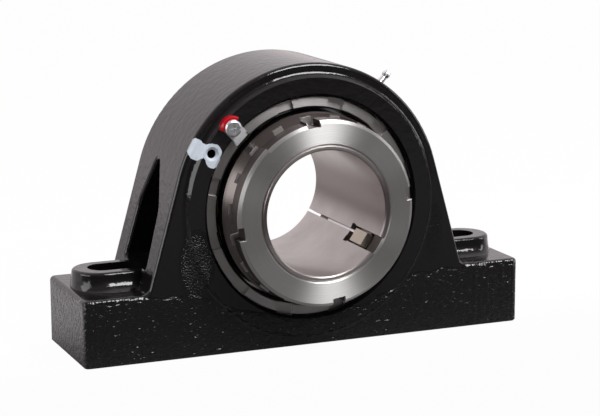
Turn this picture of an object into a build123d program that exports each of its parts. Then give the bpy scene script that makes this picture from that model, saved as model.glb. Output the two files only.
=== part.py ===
"""Pillow block: a one-piece cast housing on two bolts, holding a spherical
roller bearing that is clamped to its shaft by a split, tapered sleeve.

Millimetres. X runs along the foot, Y along the shaft (the threaded cover and
the locknut face -Y) and Z is up. The origin is the middle of the mounting
face. Every turned piece is drawn as (radius, y) and revolved about the shaft
axis, and angles round the shaft are counted from +X towards +Z.
"""
from build123d import *
import math
import os

os.makedirs("parts", exist_ok=True)

# ---- Driving sizes -------------------------------------------------------
shaft_d = 90.0              # bore of the sleeve, closed on its shaft
centre_height = 101.6       # mounting face to shaft centre
foot_length = 338.0
body_depth = 87.0           # the foot and the arch are flush, front and rear
foot_height = 48.4
bolt_spacing = 266.0
slot_width = 22.0
slot_length = 39.0

bearing_width = 52.0
roller_count = 22           # in each of the two rows
roller_d = 12.6
roller_length = 18.0
sleeve_wall = 3.5           # at the threaded end
taper_per_mm = 1.0 / 24.0   # 1:12 on the diameter
inner_race_wall = 6.6       # inner ring, from the sleeve to the race, mid width
outer_race_wall = 6.0       # outer ring, at its thinnest

# ---- Housing walls and features ------------------------------------------
housing_wall = 23.4         # from the cover thread out to the crown
flank_angle = 15.8          # the arch's sides lean out towards the foot
foot_fillet = 6.0           # between a flank and the foot
corner_round = 4.0          # upright corners of the foot
edge_round = 3.0            # front and rear edges of the casting
sole_chamfer = 1.0
boss_height = 12.8          # bolt boss, above the foot
boss_length_wall = 8.5      # boss, beyond the slot along X
boss_width_wall = 8.0
boss_offset = 2.5           # the boss reaches further outwards than inwards
boss_draft = 6.0
boss_flare = 9.0            # the boss's sides sweep out this far over the foot
boss_round = 2.4
web_front = 19.5            # flank web thickness at the boss, front
web_rear = 20.0
web_shoulder = 103.0        # height at which the pocket starts to narrow
web_front_step = 5.0        # and by how much each web has thickened there
web_rear_step = 1.5
pocket_top = 133.5
pocket_top_y = (2.5, 8.5)
pocket_shoulder_round = 25.0
pocket_top_round = 2.0
pocket_foot_round = 4.0
pocket_lip_round = 2.5
barrel_wall = 10.6          # cover thread to the floor of the flank pockets
seat_ring_height = 4.0      # round seat ring that stands proud of the front
seat_ring_wall = 16.4       # cover thread to the foot of that ring
seat_ring_slope = 3.0
seat_ring_fillet = 4.0
mouth_chamfer = 2.0
thread_relief = 1.6
rear_lip = 6.5              # shoulder behind the bearing

# ---- Cover, seals and locking tab ----------------------------------------
cover_step = 3.3            # cover thread radius beyond the outer ring
cover_band = 7.4            # radial width of the cover's face
cover_slots = 12
cover_slot_width = 12.4
cover_slot_depth = 2.7
cover_chamfer = 0.8
cover_slot_start = 15.0
seal_wall = 2.6
oring_d = 2.1
tab_angle = 135.0
tab_pitch = 15.0            # second tapped hole, half a cover slot further on
tab_width = 11.4
tab_thickness = 2.0
tab_circle_wall = 7.8       # tapped holes, outside the cover thread
screw_d = 6.0
screw_head_d = 12.2
screw_head_height = 3.8
screw_length = 16.0
hole_chamfer = 2.0
recess_width = 1.5
recess_length = 7.4
recess_depth = 2.2
washer_d = 12.0
washer_thickness = 1.2
lacquer_from = 58.0         # red mark round one side of the screw's head
lacquer_to = 192.0
lacquer_width = 2.3
lacquer_height = 4.8

# ---- Sleeve, locknut and collars -----------------------------------------
taper_start = -44.0         # the sleeve is cylindrical in front of this
sleeve_overhang = 8.2       # sleeve beyond the rear of the housing
sleeve_slit = 2.0
slit_angle = -31.0
keyway_angle = -33.8
keyway_width = 13.0
keyway_length = 46.0        # from the threaded end
keyway_relief = 4.6
key_width = 10.0
key_length = 19.0
key_setback = 21.5          # key, behind the threaded end
key_depth = 1.5             # key, sunk in the collar
nut_wall = 17.9
nut_width = 14.0
nut_chamfer = 2.2
nut_bore_chamfer = 1.2
nut_slots = 4
nut_slot_width = 9.6
nut_slot_depth = 4.8
nut_slot_start = 8.6
nut_relief_from = 103.0     # part of the rim is turned down
nut_relief_to = 132.5
nut_relief_depth = 1.7
lockwasher_thickness = 2.2
lockwasher_tangs = 19
tang_start = 4.1
tang_width = 7.5
tang_reach = 1.4            # tangs, beyond the nut
tang_depth = 6.0
collar_reach = 13.7         # collar, in front of the cover's face
collar_wall = 8.5
collar_rim_reach = 5.0      # rim, in front of the cover's face
collar_rim_width = 8.5
collar_gap = 3.3            # rim to cover
collar_counterbore = 2.6    # washer and collar, clear of the thread in front of the key
rear_collar_wall = 6.5
rear_collar_gap = 4.6
rear_collar_setback = 5.5   # its flange, behind the bearing

# ---- Grease fitting ------------------------------------------------------
fitting_angle = 46.8
fitting_shank_d = 8.0
fitting_hex = 10.0
fitting_hex_height = 5.0
fitting_height = 17.0
fitting_shank = 9.0
fitting_head_d = 6.6
fitting_neck_d = 4.8
fitting_bore_d = 2.4
ball_d = 2.9
grease_way_d = 5.0

# ---- Clearances ----------------------------------------------------------
seat_gap = 0.05             # between round faces that seat in each other
roller_gap = 0.2            # roller to either race
ring_gap = 0.3              # guide ring, cages and collars
seal_lip_gap = 1.6          # lets the shaft swivel without touching

# ---- Worked-out places ---------------------------------------------------
front = -body_depth / 2
rear = body_depth / 2
half_width = bearing_width / 2
bore_r = shaft_d / 2
thread_r = bore_r + sleeve_wall

cover_face = front
nut_face = cover_face - collar_reach - lockwasher_thickness - nut_width
sleeve_rear = rear + sleeve_overhang
sleeve_length = sleeve_rear - nut_face


def sleeve_r(y):
    """Outside radius of the sleeve, which seats the inner ring's bore."""
    return thread_r + max(0.0, y - taper_start) * taper_per_mm


# The rows lie on a sphere about the bearing's centre. race_r is measured from
# that centre to the inner race, and sphere_r to the outer one.
race_r = sleeve_r(0) + inner_race_wall
roller_r = race_r + roller_gap + roller_d / 2
sphere_r = roller_r + roller_d / 2 + roller_gap
outer_r = sphere_r + outer_race_wall
row_gap = 3.0
row_angle = (math.atan2(roller_length / 2, roller_r)
             + math.asin(row_gap / math.hypot(roller_r, roller_length / 2)))

cover_r = outer_r + cover_step
cover_bore_r = cover_r - cover_band
collar_r = cover_bore_r - collar_gap
crown_r = cover_r + housing_wall
seat_face = front - seat_ring_height
tab_circle_r = cover_r + tab_circle_wall
rear_bore_r = outer_r - rear_lip
rear_collar_r = rear_bore_r - rear_collar_gap
nut_r = thread_r + nut_wall
boss_top = foot_height + boss_height


# ---- Helpers -------------------------------------------------------------
def about_shaft(angle=0.0):
    """Frame at the shaft centre: X points out at this angle, Y along the shaft."""
    return Pos(0, 0, centre_height) * Rot(0, -angle, 0)


def turned(*outline):
    """Solid of revolution about the shaft axis from (radius, y) corners."""
    return about_shaft() * revolve(make_face(Polyline(*outline, close=True)), Axis.Y)


def bar(r_in, r_out, y_low, y_high, width):
    """Straight bar along local X, between two radii and two places on Y."""
    block = Box(r_out - r_in, y_high - y_low, width)
    return Pos((r_in + r_out) / 2, (y_low + y_high) / 2, 0) * block


def pin(radius, y_low, y_high):
    """Round bar along Y."""
    return Pos(0, (y_low + y_high) / 2, 0) * Rot(90, 0, 0) * Cylinder(radius, y_high - y_low)


def along_row(lift, step, side):
    """(radius, y) at a distance from the bearing's centre and along a row."""
    radial = lift * math.cos(row_angle) - step * math.sin(row_angle)
    axial = lift * math.sin(row_angle) + step * math.cos(row_angle)
    return radial, side * axial


# ---- Housing -------------------------------------------------------------
def housing():
    """One casting: foot, arch, flank webs, bolt bosses and the bearing's seat."""
    lean = math.radians(flank_angle)
    touch_x = crown_r * math.cos(lean)
    touch_z = centre_height + crown_r * math.sin(lean)
    sole_x = touch_x + math.tan(lean) * touch_z
    arch = make_face([
        Line((-sole_x, 0), (-touch_x, touch_z)),
        ThreePointArc((-touch_x, touch_z), (0, centre_height + crown_r), (touch_x, touch_z)),
        Line((touch_x, touch_z), (sole_x, 0)),
        Line((sole_x, 0), (-sole_x, 0)),
    ])
    foot = Pos(0, foot_height / 2) * Rectangle(foot_length, foot_height)
    outline = arch + foot
    inner = [v for v in outline.vertices()
             if abs(v.Y - foot_height) < 0.01 and abs(v.X) < foot_length / 2 - 0.01]
    outline = fillet(inner, foot_fillet)
    body = extrude(Plane.XZ * outline, body_depth / 2, both=True)

    corners = [e for e in body.edges().filter_by(Axis.Z)
               if abs(abs(e.center().X) - foot_length / 2) < 0.01]
    body = fillet(corners, corner_round)
    upright = body.edges().filter_by(Axis.Z)
    rim = []
    for edge in body.edges():
        box = edge.bounding_box()
        flat = box.size.Y < 0.01 and box.max.Z > 0.01
        level = box.size.Z < 0.01 and box.max.Z > 0.01
        if edge not in upright and (flat or (level and box.max.X > touch_x) or (level and box.min.X < -touch_x)):
            rim.append(edge)
    rim = [e for e in rim if abs(e.center().X) > foot_length / 2 - corner_round
           or abs(abs(e.center().Y) - body_depth / 2) < 0.01]
    body = fillet(rim, edge_round)
    sole = [e for e in body.edges() if e.bounding_box().max.Z < 0.01]
    body = chamfer(sole, sole_chamfer)

    body -= flank_pocket(1)
    body -= flank_pocket(-1)
    lips = []
    for edge in body.edges():
        middle = edge @ 0.5
        out, height = abs(middle.X), middle.Z - centre_height
        if middle.Z < touch_z:
            depth = crown_r - out * math.cos(lean) - height * math.sin(lean)
        else:
            depth = crown_r - math.hypot(out, height)
        if abs(depth) < 0.05 and abs(middle.Y) < body_depth / 2 - edge_round - 1 and middle.Z > foot_height + foot_fillet:
            lips.append(edge)
    body = fillet(lips, pocket_lip_round)
    for side in (-1, 1):
        body += bolt_boss(side)
    body += seat_ring()
    foot_circle = [e for e in body.edges().filter_by(GeomType.CIRCLE)
                   if abs(e.radius - cover_r - seat_ring_wall) < 0.01]
    body = fillet(foot_circle, seat_ring_fillet)
    for side in (-1, 1):
        slot = SlotOverall(slot_length, slot_width)
        body -= Pos(side * bolt_spacing / 2, 0, -1) * extrude(slot, boss_top + 2)
    body -= bearing_seat()
    for step in (0, 1):
        hole = pin(screw_d / 2, seat_face - 1, seat_face + screw_length + 3)
        mouth = Pos(0, seat_face, 0) * Rot(90, 0, 0) * Cone(
            screw_d / 2 - 2, screw_d / 2 + 2 * hole_chamfer + 2, 2 * hole_chamfer + 4)
        body -= about_shaft(tab_angle + step * tab_pitch) * Pos(tab_circle_r, 0, 0) * (hole + mouth)
    body -= grease_way()
    return body


def flank_pocket(side):
    """Recess between the front and rear webs of one flank, above its boss."""
    shoulder_front = (front + web_front + web_front_step, web_shoulder)
    shoulder_rear = (rear - web_rear - web_rear_step, web_shoulder)
    corners = [
        (front + web_front, boss_top), (rear - web_rear, boss_top), shoulder_rear,
        (pocket_top_y[1], pocket_top), (pocket_top_y[0], pocket_top), shoulder_front]
    face = make_face(Polyline(*corners, close=True))
    shoulders = [v for v in face.vertices() if abs(v.Y - web_shoulder) < 0.01]
    face = fillet(shoulders, pocket_shoulder_round)
    wedge = extrude(Plane.YZ * face, crown_r + foot_length / 2)
    along = wedge.edges().filter_by(Axis.X)
    wedge = fillet([e for e in along if abs(e.center().Z - pocket_top) < 0.01], pocket_top_round)
    along = wedge.edges().filter_by(Axis.X)
    wedge = fillet([e for e in along if abs(e.center().Z - boss_top) < 0.01], pocket_foot_round)
    wedge -= turned((0, front - 9), (cover_r + barrel_wall, front - 9),
                    (cover_r + barrel_wall, rear + 9), (0, rear + 9))
    if side < 0:
        return mirror(wedge, Plane.YZ)
    return wedge


def bolt_boss(side):
    """Pad that carries the bolt's washer; its sides sweep out over the foot."""
    half_x = slot_length / 2 + boss_length_wall
    half_y = slot_width / 2 + boss_width_wall
    flare = min(boss_flare, half_x - half_y - 0.5)
    sections = []
    for height, share in ((-0.05, 1.0), (0.07, 0.55), (0.28, 0.2), (0.55, 0.05), (1.0, 0.0)):
        spread = boss_height * (1 - height) * math.tan(math.radians(boss_draft))
        outline = SlotOverall(2 * (half_x + spread), 2 * (half_y + spread + flare * share))
        sections.append(Pos(0, 0, height * boss_height) * outline)
    boss = loft(sections)
    boss = fillet(boss.edges().group_by(Axis.Z)[-1], boss_round)
    return Pos(side * (bolt_spacing / 2 + boss_offset), 0, foot_height) * boss


def seat_ring():
    """Raised round face, which the cover screws into and the tab bolts to."""
    foot_r = cover_r + seat_ring_wall
    ring = turned((cover_r - 2, front + 4), (foot_r, front + 4), (foot_r, front),
                  (foot_r - seat_ring_slope, seat_face), (cover_r - 2, seat_face))
    return ring & Pos(0, 0, foot_length / 2 + sole_chamfer) * Box(foot_length, foot_length, foot_length)


def bearing_seat():
    """What the borer takes out: cover thread, bearing seat and rear opening."""
    mouth = cover_r + seat_gap
    seat = outer_r + seat_gap
    return turned(
        (0, seat_face - 9), (mouth + mouth_chamfer, seat_face - 9),
        (mouth + mouth_chamfer, seat_face), (mouth, seat_face + mouth_chamfer),
        (mouth, -half_width - thread_relief), (mouth + thread_relief / 2, -half_width - thread_relief),
        (mouth + thread_relief / 2, -half_width), (seat, -half_width), (seat, half_width),
        (rear_bore_r, half_width), (rear_bore_r, rear + 9), (0, rear + 9))


def grease_way():
    """Tapped hole for the fitting, drilled on through to the bearing's groove."""
    flat = crown_r - 0.6
    tapped = Pos(flat - fitting_shank / 2 - 1, 0, 0) * Rot(0, 90, 0) * Cylinder(
        fitting_shank_d / 2 + seat_gap, fitting_shank + 2)
    way = Pos(crown_r - housing_wall / 2, 0, 0) * Rot(0, 90, 0) * Cylinder(
        grease_way_d / 2, 2 * housing_wall)
    spot = Pos(flat + 5, 0, 0) * Rot(0, 90, 0) * Cylinder(fitting_hex * 0.7, 10)
    return about_shaft(fitting_angle) * (tapped + way + spot)


# ---- Cover, seals and lock -----------------------------------------------
def cover():
    """Threaded ring with a slotted face; it clamps the outer ring in its seat."""
    groove = cover_bore_r + seal_wall
    ring = turned(
        (cover_bore_r, -half_width), (cover_r - cover_chamfer, -half_width),
        (cover_r, -half_width - cover_chamfer),
        (cover_r, cover_face + cover_chamfer), (cover_r - cover_chamfer, cover_face),
        (cover_bore_r + cover_chamfer / 2, cover_face), (cover_bore_r, cover_face + cover_chamfer / 2),
        (cover_bore_r, seal_front()), (groove, seal_front()), (groove, seal_rear()),
        (cover_bore_r, seal_rear()))
    depth = oring_d
    ring -= turned((cover_r - depth, oring_y() - oring_d * 0.7), (cover_r + 1, oring_y() - oring_d * 0.7),
                   (cover_r + 1, oring_y() + oring_d * 0.7), (cover_r - depth, oring_y() + oring_d * 0.7))
    for step in range(cover_slots):
        angle = cover_slot_start + step * 360 / cover_slots
        ring -= about_shaft(angle) * bar(cover_bore_r - 2, cover_r + 2, cover_face - 1,
                                         cover_face + cover_slot_depth, cover_slot_width)
    return ring


def seal_front():
    """Front end of the groove that holds the front seal."""
    return cover_face + cover_slot_depth + 1.3


def seal_rear():
    """Rear end of that groove."""
    return -half_width - 4.5


def oring_y():
    """Middle of the cover's O-ring groove."""
    return (seal_front() + seal_rear()) / 2


def cover_oring():
    """Rubber ring that seals the cover's thread."""
    section = Pos(cover_r - oring_d / 2, oring_y()) * Circle(oring_d / 2 - seat_gap)
    return about_shaft() * revolve(section, Axis.Y)


def front_seal():
    """Rubber ring held in the cover, standing just off the collar's rim."""
    lip = collar_r + seal_lip_gap
    back = cover_bore_r + seal_wall - seat_gap
    return turned((lip, seal_rear() - 0.8), (cover_bore_r - 0.4, seal_rear()), (back, seal_rear()),
                  (back, seal_front()), (cover_bore_r - 0.4, seal_front()), (lip, seal_front() - 1.5))


def rear_seal():
    """Rubber ring in the rear opening, standing just off the rear collar."""
    lip = rear_collar_r + seal_lip_gap
    back = rear_bore_r - seat_gap
    return turned((lip, rear - 9.2), (back, rear - 11), (back, rear - 3), (lip, rear - 3))


def lock_tab():
    """Joggled strip: screwed to the seat ring, its end lies in a cover slot."""
    low = cover_face + cover_slot_depth
    top = seat_face - tab_thickness
    step_r = cover_r - 0.3
    outline = [
        (cover_bore_r + 0.3, low), (step_r, low), (step_r, seat_face),
        (tab_circle_r, seat_face), (tab_circle_r, top), (step_r - tab_thickness, top),
        (step_r - tab_thickness, low - tab_thickness), (cover_bore_r + 0.3, low - tab_thickness)]
    strip = extrude(make_face(Polyline(*outline, close=True)), tab_width / 2, both=True)
    strip += Pos(tab_circle_r, 0, 0) * pin(tab_width / 2, top, seat_face)
    strip -= Pos(tab_circle_r, 0, 0) * pin(screw_d / 2 + ring_gap, top - 1, seat_face + 1)
    return about_shaft(tab_angle) * strip


def tab_washer():
    """Flat washer between the screw's head and the tab."""
    top = seat_face - tab_thickness
    ring = pin(washer_d / 2, top - washer_thickness, top) - pin(
        screw_d / 2 + ring_gap, top - washer_thickness - 1, top + 1)
    return about_shaft(tab_angle) * Pos(tab_circle_r, 0, 0) * ring


def screw_lacquer():
    """Dab of red lacquer on one side of the head: it cracks if the screw turns."""
    inner = screw_head_d / 2 + seat_gap
    outer = inner + lacquer_width
    top = seat_face - lacquer_height
    outline = [(inner, seat_face), (inner, top), (outer - lacquer_width / 2, top),
               (outer, top + lacquer_width / 2), (outer, seat_face)]
    crescent = revolve(make_face(Polyline(*outline, close=True)), Axis.Y, lacquer_to - lacquer_from)
    centre = about_shaft(tab_angle) * Pos(tab_circle_r, 0, 0)
    return centre * Rot(0, tab_angle - lacquer_to, 0) * crescent


def lock_screw():
    """Pan-head screw with a cross recess."""
    under = seat_face - tab_thickness - washer_thickness
    top = under - screw_head_height
    head = pin(screw_head_d / 2, top, under)
    head = fillet(head.edges().group_by(Axis.Y)[0], screw_head_height * 0.55)
    shank = pin(screw_d / 2 - seat_gap, under, under + screw_length)
    screw = head + chamfer(shank.edges().group_by(Axis.Y)[-1], 0.8)
    for turn in (45, 135):
        arm = Box(recess_length, 2 * recess_depth, recess_width)
        screw -= Pos(0, top, 0) * Rot(0, turn, 0) * arm
    return about_shaft(tab_angle) * Pos(tab_circle_r, 0, 0) * screw


# ---- Bearing -------------------------------------------------------------
def outer_ring():
    """Fixed ring: its race is part of a sphere, so the shaft can swivel."""
    lip = math.sqrt(sphere_r ** 2 - half_width ** 2)
    edge = 1.2
    section = make_face([
        ThreePointArc((lip, -half_width), (sphere_r, 0), (lip, half_width)),
        Polyline((lip, half_width), (outer_r - edge, half_width), (outer_r, half_width - edge),
                 (outer_r, 4), (outer_r - 1.6, 2.5), (outer_r - 1.6, -2.5), (outer_r, -4),
                 (outer_r, -half_width + edge), (outer_r - edge, -half_width), (lip, -half_width)),
    ])
    ring = about_shaft() * revolve(section, Axis.Y)
    for third in range(3):
        way = Pos(outer_r - 3, 0, 0) * Rot(0, 90, 0) * Cylinder(2.0, 3 * outer_race_wall)
        ring -= about_shaft(fitting_angle + 120 * third) * way
    return ring


def inner_ring():
    """Ring on the sleeve's taper, with a hollow race for each row."""
    half_race = roller_length / 2 + 0.5
    rise = half_race ** 2 / (2 * sphere_r)
    rib = race_r - 0.1

    def race(side):
        inner = along_row(race_r + rise, -half_race, side)
        middle = along_row(race_r, 0, side)
        outer = along_row(race_r + rise, half_race, side)
        return inner, middle, outer

    front_race = race(-1)
    rear_race = race(1)
    bore_front = sleeve_r(-half_width) + seat_gap
    bore_rear = sleeve_r(half_width) + seat_gap
    section = make_face([
        Polyline((bore_front, -half_width), (rib, -half_width), (rib, front_race[2][1] - 0.6),
                 front_race[2]),
        ThreePointArc(front_race[2], front_race[1], front_race[0]),
        Line(front_race[0], rear_race[0]),
        ThreePointArc(rear_race[0], rear_race[1], rear_race[2]),
        Polyline(rear_race[2], (rib, rear_race[2][1] + 0.6), (rib, half_width),
                 (bore_rear, half_width), (bore_front, -half_width)),
    ])
    return about_shaft() * revolve(section, Axis.Y)


def roller():
    """One barrel roller, its axis on Y, centred on the origin."""
    half = roller_length / 2
    drop = half ** 2 / (2 * sphere_r * 0.98)
    end = roller_d / 2 - drop
    section = make_face([
        ThreePointArc((end, -half), (roller_d / 2, 0), (end, half)),
        Polyline((end, half), (0, half), (0, -half), (end, -half)),
    ])
    return revolve(section, Axis.Y)


def on_row(step, side):
    """Frame of one roller: centred on it, with Y along its axis."""
    radial, axial = along_row(roller_r, 0, side)
    angle = 360.0 * (step + 0.5 * (side > 0)) / roller_count
    return about_shaft(angle) * Pos(radial, axial, 0) * Rot(0, 0, side * math.degrees(row_angle))


def roller_row(side):
    """All the rollers of one row, as separate solids."""
    return Compound([on_row(step, side) * roller() for step in range(roller_count)])


def cage(side):
    """Comb cage: an outer end ring with a finger between each two rollers."""
    inner_end = -roller_length / 2 + 0.8
    ring_start = roller_length / 2 + ring_gap
    ring_end = ring_start + 2.8
    half = 1.6
    band = turned(along_row(roller_r - half, inner_end, side), along_row(roller_r + half, inner_end, side),
                  along_row(roller_r + half, ring_start, side), along_row(roller_r + 2, ring_start, side),
                  along_row(roller_r + 2, ring_end, side), along_row(roller_r - 2, ring_end, side),
                  along_row(roller_r - 2, ring_start, side), along_row(roller_r - half, ring_start, side))
    pocket = Box(roller_d, roller_length + 2 * ring_gap, roller_d + 2 * ring_gap)
    for step in range(roller_count):
        band -= on_row(step, side) * pocket
    return band


def guide_ring():
    """Loose ring between the two rows, which keeps the rollers square."""
    low = along_row(race_r, -roller_length / 2 - 0.5, 1)[0] + ring_gap
    low += (roller_length / 2) ** 2 / (2 * sphere_r)
    high = roller_r + 2.6

    def half_at(radius):
        return row_gap + (radius - roller_r) * math.tan(row_angle) - ring_gap * 1.6

    return turned((low, -half_at(low)), (high, -half_at(high)), (high, half_at(high)), (low, half_at(low)))


# ---- Sleeve, locknut and collars -----------------------------------------
def adapter_sleeve():
    """Split sleeve: threaded at the front, tapered outside, slotted for a key."""
    lead = 0.9
    sleeve = turned(
        (bore_r, nut_face + lead), (bore_r + lead, nut_face), (thread_r - lead, nut_face),
        (thread_r, nut_face + lead), (thread_r, taper_start),
        (sleeve_r(sleeve_rear - lead), sleeve_rear - lead), (sleeve_r(sleeve_rear) - lead, sleeve_rear),
        (bore_r + lead, sleeve_rear), (bore_r, sleeve_rear - lead))
    wall_in = bore_r - 3
    wall_out = sleeve_r(sleeve_rear) + 3
    key_end = nut_face + keyway_length
    sleeve -= about_shaft(keyway_angle) * bar(wall_in, wall_out, nut_face - 1, key_end, keyway_width)
    for side in (-1, 1):
        relief = bar(wall_in, wall_out, key_end - keyway_relief, key_end + 1.0, keyway_relief)
        sleeve -= about_shaft(keyway_angle) * Pos(0, 0, side * (keyway_width - keyway_relief + 1.6) / 2) * relief
    sleeve -= about_shaft(slit_angle) * bar(wall_in, wall_out, key_end - 2, sleeve_rear + 1, sleeve_slit)
    return sleeve


def sleeve_key():
    """Key that stops the collar and the sleeve from turning on each other."""
    start = key_front()
    key = bar(bore_r + 0.8, collar_bore() + key_depth - seat_gap, start, start + key_length, key_width)
    return about_shaft(keyway_angle) * key


def key_front():
    """Front end of the key."""
    return nut_face + key_setback


def collar_bore():
    """Bore of the front collar, clear of the sleeve along its whole length."""
    return sleeve_r(-half_width) + ring_gap


def front_collar():
    """Spacer between the inner ring and the lockwasher, with a wide rim."""
    tip = cover_face - collar_reach
    rim_front = cover_face - collar_rim_reach
    rim_rear = rim_front + collar_rim_width
    hub = collar_bore() + collar_wall
    neck = nut_r - tang_depth + tang_reach - 1.5
    ring = turned(
        (collar_bore(), -half_width), (hub, -half_width), (hub, rim_rear + 2.5),
        (collar_r, rim_rear), (collar_r, rim_front + 1.2), (collar_r - 1.2, rim_front),
        (neck, tip), (thread_r + collar_counterbore, tip), (thread_r + collar_counterbore, key_front()),
        (collar_bore(), key_front()))
    start = key_front()
    return ring - about_shaft(keyway_angle) * bar(bore_r, collar_bore() + key_depth, start,
                                                  start + key_length, key_width + seat_gap)


def rear_collar():
    """Ring on the sleeve behind the bearing, which the rear seal runs round."""
    bore = sleeve_r(rear - 1.5) + ring_gap
    hub = bore + rear_collar_wall
    flange = half_width + rear_collar_setback
    return turned((bore, half_width), (hub, half_width), (hub, flange - 2), (rear_collar_r, flange),
                  (rear_collar_r, rear - 2.5), (rear_collar_r - 1, rear - 1.5), (bore, rear - 1.5))


def lockwasher():
    """Thin washer with outer tangs, one of which is bent into a slot of the nut."""
    rear_side = cover_face - collar_reach
    front_side = rear_side - lockwasher_thickness
    tip_r = nut_r + tang_reach
    bore = thread_r + collar_counterbore
    washer = turned((bore, front_side), (tip_r - tang_depth, front_side),
                    (tip_r - tang_depth, rear_side), (bore, rear_side))
    for step in range(lockwasher_tangs):
        tang = bar(tip_r - tang_depth - 1, tip_r, front_side, rear_side, tang_width)
        washer += about_shaft(tang_start + step * 360 / lockwasher_tangs) * tang
    return washer


def locknut():
    """Round nut with four spanner slots; it draws the sleeve into the ring."""
    back = nut_face + nut_width
    bore = thread_r + seat_gap
    nut = turned(
        (bore, back), (nut_r - 0.8, back), (nut_r, back - 0.8), (nut_r, nut_face + nut_chamfer * 0.7),
        (nut_r - nut_chamfer, nut_face), (bore + nut_bore_chamfer, nut_face),
        (bore, nut_face + nut_bore_chamfer))
    for step in range(nut_slots):
        angle = nut_slot_start + step * 360 / nut_slots
        nut -= about_shaft(angle) * bar(nut_r - nut_slot_depth, nut_r + 2, nut_face - 1, back + 1, nut_slot_width)
    floor = nut_r - nut_relief_depth
    section = [(floor, back + 1), (floor, nut_face + nut_chamfer * 0.7), (floor - nut_chamfer, nut_face),
               (floor - nut_chamfer, nut_face - 1), (nut_r + 2, nut_face - 1), (nut_r + 2, back + 1)]
    relief = revolve(make_face(Polyline(*section, close=True)), Axis.Y, nut_relief_to - nut_relief_from)
    return nut - about_shaft(nut_relief_to) * relief


# ---- Grease fitting ------------------------------------------------------
def fitting_frame():
    """Frame on the fitting's seat, with Z pointing out of the housing."""
    return about_shaft(fitting_angle) * Pos(crown_r - 0.6, 0, 0) * Rot(0, 90, 0)


def grease_fitting():
    """Hexagon body with a round nipple and a drilled way through it."""
    neck = fitting_neck_d / 2
    head = fitting_head_d / 2
    ball = ball_d / 2
    mouth_r = ball_d / 2 - ring_gap
    outline = [
        (fitting_bore_d / 2, -fitting_shank), (fitting_shank_d / 2, -fitting_shank),
        (fitting_shank_d / 2, 0.5), (fitting_hex / 2, 0.5), (neck + 0.6, fitting_hex_height + 1.5),
        (neck, fitting_height - 5.2), (head, fitting_height - 3.6), (head, fitting_height - 2.4),
        (neck - 0.2, fitting_height), (mouth_r, fitting_height), (ball + ring_gap, fitting_height - 0.9),
        (ball + ring_gap, fitting_height - 5), (fitting_bore_d / 2, fitting_height - 5.6)]
    nipple = revolve(Plane.XZ * make_face(Polyline(*outline, close=True)), Axis.Z)
    hexagon = extrude(RegularPolygon(fitting_hex / 2, 6, major_radius=False), fitting_hex_height)
    hexagon -= Cylinder(fitting_shank_d / 2 - 1, 3 * fitting_hex_height)
    return fitting_frame() * (nipple + hexagon)


def grease_ball():
    """Steel check ball, held in the fitting by the rolled-in lip of its mouth."""
    sink = math.sqrt((ball_d / 2 + seat_gap) ** 2 - (ball_d / 2 - ring_gap) ** 2)
    return fitting_frame() * Pos(0, 0, fitting_height - sink) * Sphere(ball_d / 2)


# ---- Write every piece ---------------------------------------------------
pieces = {
    "housing": housing(),
    "cover": cover(),
    "cover_oring": cover_oring(),
    "front_seal": front_seal(),
    "rear_seal": rear_seal(),
    "lock_tab": lock_tab(),
    "tab_washer": tab_washer(),
    "lock_screw": lock_screw(),
    "screw_lacquer": screw_lacquer(),
    "outer_ring": outer_ring(),
    "inner_ring": inner_ring(),
    "front_rollers": roller_row(-1),
    "rear_rollers": roller_row(1),
    "front_cage": cage(-1),
    "rear_cage": cage(1),
    "guide_ring": guide_ring(),
    "adapter_sleeve": adapter_sleeve(),
    "sleeve_key": sleeve_key(),
    "front_collar": front_collar(),
    "rear_collar": rear_collar(),
    "lockwasher": lockwasher(),
    "locknut": locknut(),
    "grease_fitting": grease_fitting(),
    "grease_ball": grease_ball(),
}
for name, shape in pieces.items():
    export_step(shape, f"parts/{name}.step")
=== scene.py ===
"""Pillow block with a self-aligning roller bearing on a split sleeve, on a white studio floor."""
import math

import bpy
from mathutils import Matrix, Vector


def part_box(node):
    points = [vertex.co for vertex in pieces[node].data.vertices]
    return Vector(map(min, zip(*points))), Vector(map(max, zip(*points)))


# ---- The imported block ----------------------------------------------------
# The block as it was machined and put together: every piece keeps its place
# and its shape, and this file gives each its finish. Sizes are in metres.
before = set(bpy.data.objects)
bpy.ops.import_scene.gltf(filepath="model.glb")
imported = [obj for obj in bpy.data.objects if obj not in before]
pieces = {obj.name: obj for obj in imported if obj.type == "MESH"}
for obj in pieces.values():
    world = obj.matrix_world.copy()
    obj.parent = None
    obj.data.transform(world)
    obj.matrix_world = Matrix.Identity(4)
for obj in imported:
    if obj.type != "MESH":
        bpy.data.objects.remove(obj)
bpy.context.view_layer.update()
bpy.context.scene.view_settings.view_transform = "Standard"

nut_low, nut_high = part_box("locknut")
shaft_height = (nut_low.z + nut_high.z) / 2

# ---- The camera ----------------------------------------------------------
# A long lens from the front left and a little above, as such a block is shown
# in a parts list.
camera_azimuth = math.radians(-22.834)
camera_height = math.radians(11.565)
camera_roll = math.radians(-0.143)
camera_distance = 1.44126
camera_target = Vector((0.00934, -0.00219, 0.09185))
camera_data = bpy.data.cameras.new("camera")
camera_data.lens = 117.958
camera_data.sensor_width = 36.0
camera_data.clip_end = 30
camera_turn = (Matrix.Rotation(camera_azimuth, 4, "Z")
               @ Matrix.Rotation(math.pi / 2 - camera_height, 4, "X")
               @ Matrix.Rotation(camera_roll, 4, "Z"))
camera = bpy.data.objects.new("camera", camera_data)
camera.matrix_world = Matrix.Translation(
    camera_target + camera_turn.to_3x3() @ Vector((0, 0, camera_distance))) @ camera_turn
bpy.context.scene.collection.objects.link(camera)
bpy.context.scene.camera = camera

# ---- The studio ----------------------------------------------------------
# A white sweep behind the block and a dark room in front of it, grey towards
# its ceiling. One large soft lamp hangs overhead, a little to the right, and a
# smaller one stands at each side.


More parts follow.
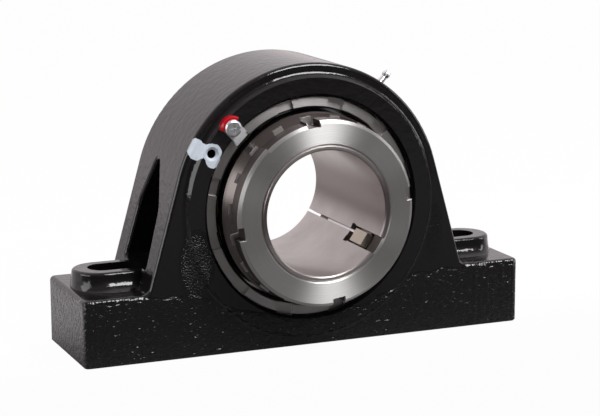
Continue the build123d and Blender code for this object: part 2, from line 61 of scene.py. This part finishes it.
def add_node(tree, kind, values=None, **settings):
    """A shader node with its settings, and the values of its unlinked inputs."""
    made = tree.nodes.new(kind)
    for name, value in settings.items():
        setattr(made, name, value)
    for name, value in (values or {}).items():
        made.inputs[name].default_value = value
    return made


def axes(tree, place):
    """The X, Y and Z of a place or a direction."""
    made = add_node(tree, "ShaderNodeSeparateXYZ")
    tree.links.new(place, made.inputs[0])
    return made.outputs


def sums(tree, operation, *values):
    """One step of arithmetic between sockets and plain numbers."""
    made = add_node(tree, "ShaderNodeMath", operation=operation)
    for place, value in zip(made.inputs, values):
        if isinstance(value, (int, float)):
            place.default_value = value
        else:
            tree.links.new(value, place)
    return made.outputs[0]


def ramp(tree, value, start, end):
    """A soft step from 0 at the start to 1 at the end, which may be the lower of the two."""
    made = add_node(tree, "ShaderNodeMapRange",
                    {"From Min": start, "From Max": end, "To Min": 0.0, "To Max": 1.0},
                    interpolation_type="SMOOTHSTEP")
    tree.links.new(value, made.inputs["Value"])
    return made.outputs["Result"]


def blend(tree, factor, first, second):
    """Mix of two colours, which may be sockets, by a factor."""
    made = add_node(tree, "ShaderNodeMix", data_type="RGBA")
    tree.links.new(factor, made.inputs["Factor"])
    for place, value in (("A", first), ("B", second)):
        if isinstance(value, tuple):
            made.inputs[place].default_value = (*value, 1)
        else:
            tree.links.new(value, made.inputs[place])
    return made.outputs["Result"]


world = bpy.data.worlds.new("studio")
bpy.context.scene.world = world
world.use_nodes = True
room = world.node_tree
room.nodes.clear()
room_way = axes(room, add_node(room, "ShaderNodeTexCoord").outputs["Generated"])
room_sweep = ramp(room, room_way["Y"], -0.45, 0.25)
room_ceiling = sums(room, "MULTIPLY", ramp(room, room_way["Z"], 0.15, 0.75), 0.26)
room_tone = blend(room, sums(room, "MAXIMUM", room_sweep, room_ceiling),
                  (0.075, 0.073, 0.073), (0.90, 0.835, 0.85))
room_rays = add_node(room, "ShaderNodeLightPath")
room_light = add_node(room, "ShaderNodeBackground", {"Strength": 1.0})
room_out = add_node(room, "ShaderNodeOutputWorld")
room.links.new(blend(room, room_rays.outputs["Is Camera Ray"], room_tone, (1, 1, 1)), room_light.inputs["Color"])
room.links.new(room_light.outputs[0], room_out.inputs[0])


def soft_lamp(name, place, width, height, power):
    """A rectangular soft lamp at a place, facing the middle of the block."""
    data = bpy.data.lights.new(name, "AREA")
    data.shape = "RECTANGLE"
    data.size = width
    data.size_y = height
    data.energy = power
    lamp = bpy.data.objects.new(name, data)
    way = Vector((0, 0, 0.1)) - Vector(place)
    lamp.matrix_world = Matrix.Translation(Vector(place)) @ way.to_track_quat("-Z", "Y").to_matrix().to_4x4()
    bpy.context.scene.collection.objects.link(lamp)


soft_lamp("lamp_over", (0.40, -0.75, 0.95), 0.6, 0.5, 14)
soft_lamp("lamp_left", (-1.3, -0.25, 0.45), 0.9, 0.6, 5)
soft_lamp("lamp_right", (1.3, -0.35, 0.5), 0.25, 0.6, 2)

floor_mesh = bpy.data.meshes.new("floor")
floor_mesh.from_pydata([(-6, -6, 0), (6, -6, 0), (6, 6, 0), (-6, 6, 0)], [], [(0, 1, 2, 3)])
floor = bpy.data.objects.new("floor", floor_mesh)
bpy.context.scene.collection.objects.link(floor)
floor_paper = bpy.data.materials.new("white_paper")
floor_paper.use_nodes = True
paper = floor_paper.node_tree
paper.nodes.clear()
paper_at = axes(paper, add_node(paper, "ShaderNodeTexCoord").outputs["Object"])
# for all rays but the camera's the paper is painted dark in front of the block: painted shade, so the block reflects
# a dark floor there
paper_painted_shade = blend(paper, ramp(paper, paper_at["Y"], -0.10, 0.06), (0.13, 0.128, 0.128), (0.86, 0.85, 0.85))
paper_rays = add_node(paper, "ShaderNodeLightPath")
paper_flat = add_node(paper, "ShaderNodeEmission", {"Color": (1, 1, 1, 1), "Strength": 1.0})
paper_lit = add_node(paper, "ShaderNodeBsdfDiffuse")
paper_mix = add_node(paper, "ShaderNodeMixShader")
paper_out = add_node(paper, "ShaderNodeOutputMaterial")
paper.links.new(paper_painted_shade, paper_lit.inputs["Color"])
# the small lit share keeps the block's shadow on the paper
paper.links.new(sums(paper, "MULTIPLY", paper_rays.outputs["Is Camera Ray"], 0.975), paper_mix.inputs[0])
paper.links.new(paper_lit.outputs[0], paper_mix.inputs[1])
paper.links.new(paper_flat.outputs[0], paper_mix.inputs[2])
paper.links.new(paper_mix.outputs[0], paper_out.inputs[0])
floor_mesh.materials.append(floor_paper)

# ---- The housing ---------------------------------------------------------
# One iron casting in gloss black paint. The paint is thin and pebbled along
# the bottom, smooth above, gritty beside the cover, has run at the ends of the
# foot, and is chipped off round the spare hole.


def finish_for(name, colour, metallic, roughness, *names):
    """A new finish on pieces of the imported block, with its tree and shader for details."""
    material = bpy.data.materials.new(name)
    material.use_nodes = True
    tree = material.node_tree
    shader = tree.nodes["Principled BSDF"]
    shader.inputs["Base Color"].default_value = (*colour, 1)
    shader.inputs["Metallic"].default_value = metallic
    shader.inputs["Roughness"].default_value = roughness
    for piece in names:
        for place in pieces[piece].material_slots:
            place.material = material
    return tree, shader


def noise(tree, place, scale, detail, stretch=(1, 1, 1)):
    """Noise that follows the piece, squeezed along its axes."""
    fitted = add_node(tree, "ShaderNodeMapping", {"Scale": stretch})
    made = add_node(tree, "ShaderNodeTexNoise", {"Scale": scale, "Detail": detail})
    tree.links.new(place, fitted.inputs["Vector"])
    tree.links.new(fitted.outputs[0], made.inputs["Vector"])
    return made.outputs["Fac"]


def reach(tree, place, centre, size, turn=0.0):
    """Distance from the middle of an ellipse seen along the shaft, 1 at its edge."""
    moved = add_node(tree, "ShaderNodeMapping", {"Location": (-centre[0], 0, -centre[1])})
    fitted = add_node(tree, "ShaderNodeMapping", {
        "Rotation": (0, turn, 0), "Scale": (1 / size[0], 0, 1 / size[1])})
    far = add_node(tree, "ShaderNodeVectorMath", operation="LENGTH")
    tree.links.new(place, moved.inputs["Vector"])
    tree.links.new(moved.outputs[0], fitted.inputs["Vector"])
    tree.links.new(fitted.outputs[0], far.inputs[0])
    return far.outputs["Value"]


paint_black = (0.006, 0.0052, 0.0055)
paint_gloss = 0.12
paint, paint_shader = finish_for("black_paint", paint_black, 0.0, paint_gloss, "housing")
paint_at = add_node(paint, "ShaderNodeTexCoord").outputs["Object"]
along, across, up = axes(paint, paint_at)
face_front = ramp(paint, across, -0.040, -0.0425)

# the pebbled skin ends in a shallow bowl that rises to both ends of the foot
bowl = sums(paint, "MULTIPLY_ADD", sums(paint, "MULTIPLY", along, along), 3.1, 0.020)
bowl = sums(paint, "MINIMUM", bowl, 0.043)
bowl = sums(paint, "MULTIPLY_ADD", noise(paint, paint_at, 70.0, 2.0), 0.008, bowl)
pebbled = ramp(paint, sums(paint, "SUBTRACT", bowl, up), 0.000, 0.004)

# grit on both sides of the cover, less of it on the right
grit_left = ramp(paint, reach(paint, paint_at, (-0.087, 0.066), (0.015, 0.030), 0.12), 1.0, 0.5)
grit_right = ramp(paint, reach(paint, paint_at, (0.098, 0.075), (0.010, 0.030), -0.1), 1.0, 0.4)
gritty = sums(paint, "MULTIPLY", sums(paint, "MULTIPLY_ADD", grit_right, 0.4, grit_left), face_front)

# runs of paint down the front at the ends of the foot
run_place = sums(paint, "MULTIPLY", ramp(paint, sums(paint, "ABSOLUTE", along), 0.115, 0.14), face_front)

# each skin of the paint, where it lies, and its height in millimetres
height = sums(paint, "MULTIPLY", noise(paint, paint_at, 190.0, 2.0), 0.24)
for skin, where, tall in (
        (noise(paint, paint_at, 330.0, 2.0, (0.8, 1.0, 1.15)), pebbled, 1.5),
        (noise(paint, paint_at, 950.0, 1.0), gritty, 1.3),
        (noise(paint, paint_at, 420.0, 1.0, (1.0, 0.2, 0.05)), run_place, 1.0)):
    height = sums(paint, "MULTIPLY_ADD", sums(paint, "MULTIPLY", skin, where), tall, height)
skin_bump = add_node(paint, "ShaderNodeBump", {"Strength": 1.0, "Distance": 0.0010})
paint.links.new(height, skin_bump.inputs["Height"])
paint.links.new(skin_bump.outputs["Normal"], paint_shader.inputs["Normal"])

# bare primer round the spare hole, out to the edge of the casting
spare_hole = (-0.07537, 0.14511)
chip = reach(paint, paint_at, (-0.0858, 0.1487), (0.0062, 0.0072))
for lobe, size in (((-0.0750, 0.1455), (0.0066, 0.0072)), ((-0.0745, 0.1400), (0.0055, 0.0050))):
    chip = sums(paint, "MINIMUM", chip, reach(paint, paint_at, lobe, size))
chip = sums(paint, "MULTIPLY_ADD", noise(paint, paint_at, 260.0, 1.0), 0.35, chip)
bare = sums(paint, "MULTIPLY", ramp(paint, chip, 1.22, 1.16), face_front)
bare = sums(paint, "MULTIPLY", bare, ramp(paint, reach(paint, paint_at, spare_hole, (0.0031, 0.0031)), 0.98, 1.02))
paint.links.new(blend(paint, bare, paint_black, (0.62, 0.68, 0.76)), paint_shader.inputs["Base Color"])
dull = sums(paint, "MULTIPLY_ADD", pebbled, 0.10, paint_gloss)
paint.links.new(sums(paint, "MULTIPLY_ADD", bare, 0.4, dull), paint_shader.inputs["Roughness"])

# ---- Tool marks ----------------------------------------------------------
# The marks a lathe leaves on every turned piece, and the stain of old oil.
# Rings vary with the distance from the shaft, turns with the place along it.
marks = bpy.data.node_groups.new("tool_marks", "ShaderNodeTree")
for socket_name in ("Rings", "Turns", "Stain"):
    marks.interface.new_socket(name=socket_name, in_out="OUTPUT", socket_type="NodeSocketFloat")
marks_at = add_node(marks, "ShaderNodeTexCoord").outputs["Object"]
marks_axis = add_node(marks, "ShaderNodeMapping", {"Location": (0, 0, -shaft_height)})
marks_flat = add_node(marks, "ShaderNodeVectorMath", {1: (1, 0, 1)}, operation="MULTIPLY")
marks_far = add_node(marks, "ShaderNodeVectorMath", operation="LENGTH")
marks.links.new(marks_at, marks_axis.inputs["Vector"])
marks.links.new(marks_axis.outputs[0], marks_flat.inputs[0])
marks.links.new(marks_flat.outputs[0], marks_far.inputs[0])
marks_out = add_node(marks, "NodeGroupOutput")
for socket_name, socket in (("Rings", marks_far.outputs["Value"]), ("Turns", axes(marks, marks_at)["Y"])):
    lines = add_node(marks, "ShaderNodeTexNoise", {"Scale": 1400.0, "Detail": 3.0}, noise_dimensions="1D")
    marks.links.new(socket, lines.inputs["W"])
    marks.links.new(lines.outputs["Fac"], marks_out.inputs[socket_name])
marks.links.new(noise(marks, marks_at, 45.0, 4.0), marks_out.inputs["Stain"])


def turned_finish(name, colour, roughness, mark, grain, stain, *names):
    """Turned steel: fine marks across the light, and darker where oil has dried."""
    tree, shader = finish_for(name, colour, 1.0, roughness, *names)
    shader.inputs["Anisotropic"].default_value = grain
    shader.inputs["Anisotropic Rotation"].default_value = 0.25
    tangent = add_node(tree, "ShaderNodeTangent", direction_type="RADIAL", axis="Y")
    tree.links.new(tangent.outputs[0], shader.inputs["Tangent"])
    tool = add_node(tree, "ShaderNodeGroup", node_tree=marks)
    worn = sums(tree, "MULTIPLY_ADD", tool.outputs[mark], 0.30, 0.85)
    worn = sums(tree, "MULTIPLY", worn, sums(tree, "MULTIPLY_ADD", tool.outputs["Stain"], stain, 1.0 - stain * 0.5))
    shade = add_node(tree, "ShaderNodeVectorMath", {0: colour}, operation="SCALE")
    tree.links.new(worn, shade.inputs["Scale"])
    tree.links.new(shade.outputs[0], shader.inputs["Base Color"])
    return tree, shader, shade.outputs[0]


# ---- The cover and its tab -----------------------------------------------
# The threaded cover is turned from steel bar and slotted; the sheet tab that
# locks it is held by a plated screw, sealed on one side with red lacquer.
turned_finish("cover_steel", (0.56, 0.54, 0.535), 0.45, "Rings", 0.6, 0.45, "cover")
finish_for("tab_steel", (0.80, 0.81, 0.83), 1.0, 0.55, "lock_tab", "tab_washer")
finish_for("zinc_plate", (0.88, 0.90, 0.93), 1.0, 0.30, "lock_screw", "grease_fitting")
finish_for("red_lacquer", (0.42, 0.0, 0.008), 0.0, 0.22, "screw_lacquer")
finish_for("black_rubber", (0.012, 0.012, 0.012), 0.0, 0.5, "cover_oring", "front_seal", "rear_seal")

# ---- The locknut and its washer ------------------------------------------
# A turned nut with a bright, fine face and a bright chamfer; behind the chamfer
# its steel is painted dark as painted shade, on a plain pressed steel washer.
nut_tree, nut_shader, nut_shade = turned_finish(
    "nut_steel", (0.62, 0.61, 0.60), 0.45, "Rings", 0.9, 0.15, "locknut")
nut_chamfer = 0.0022
nut_at = axes(nut_tree, add_node(nut_tree, "ShaderNodeTexCoord").outputs["Object"])
# behind the chamfer the nut's colour is painted dark: painted shade for the dark its sides reflect
nut_painted_shade = ramp(nut_tree, nut_at["Y"], nut_low.y + nut_chamfer, nut_low.y + nut_chamfer + 0.0004)
nut_tree.links.new(blend(nut_tree, nut_painted_shade, nut_shade, (0.13, 0.112, 0.108)), nut_shader.inputs["Base Color"])
finish_for("washer_steel", (0.60, 0.58, 0.57), 1.0, 0.42, "lockwasher")

# ---- The sleeve, its key and the collars ---------------------------------
# The bored sleeve is warm grey steel, darker in a band at the height of the
# shaft; the key is sawn stock; the collars are smooth, their steel painted dark
# as painted shade.
sleeve_tree, sleeve_shader, sleeve_shade = turned_finish(
    "sleeve_steel", (0.50, 0.465, 0.455), 0.34, "Turns", 0.4, 0.6, "adapter_sleeve")
# the sleeve's colour is darker in a band at the height of the shaft
band_height = shaft_height + 0.003
sleeve_at = axes(sleeve_tree, add_node(sleeve_tree, "ShaderNodeTexCoord").outputs["Object"])
band_distance = sums(sleeve_tree, "ABSOLUTE", sums(sleeve_tree, "SUBTRACT", sleeve_at["Z"], band_height))
darker_band = ramp(sleeve_tree, band_distance, 0.028, 0.006)
sleeve_tree.links.new(blend(sleeve_tree, darker_band, sleeve_shade, (0.24, 0.20, 0.198)), sleeve_shader.inputs["Base Color"])
finish_for("key_steel", (0.72, 0.65, 0.55), 1.0, 0.5, "sleeve_key")
# the collars' steel colour is painted dark: painted shade for the dark they reflect
finish_for("collar_steel", (0.13, 0.113, 0.108), 1.0, 0.26, "front_collar", "rear_collar")

# ---- The bearing ---------------------------------------------------------
# Ground steel rings and rollers, in brass cages with a loose iron ring between
# the rows. Little of it shows past the seals.
finish_for("ground_steel", (0.6, 0.6, 0.61), 1.0, 0.15,
           "outer_ring", "inner_ring", "front_rollers", "rear_rollers", "grease_ball")
finish_for("cage_brass", (0.62, 0.45, 0.2), 1.0, 0.3, "front_cage", "rear_cage")
finish_for("ring_iron", (0.25, 0.25, 0.25), 1.0, 0.45, "guide_ring")
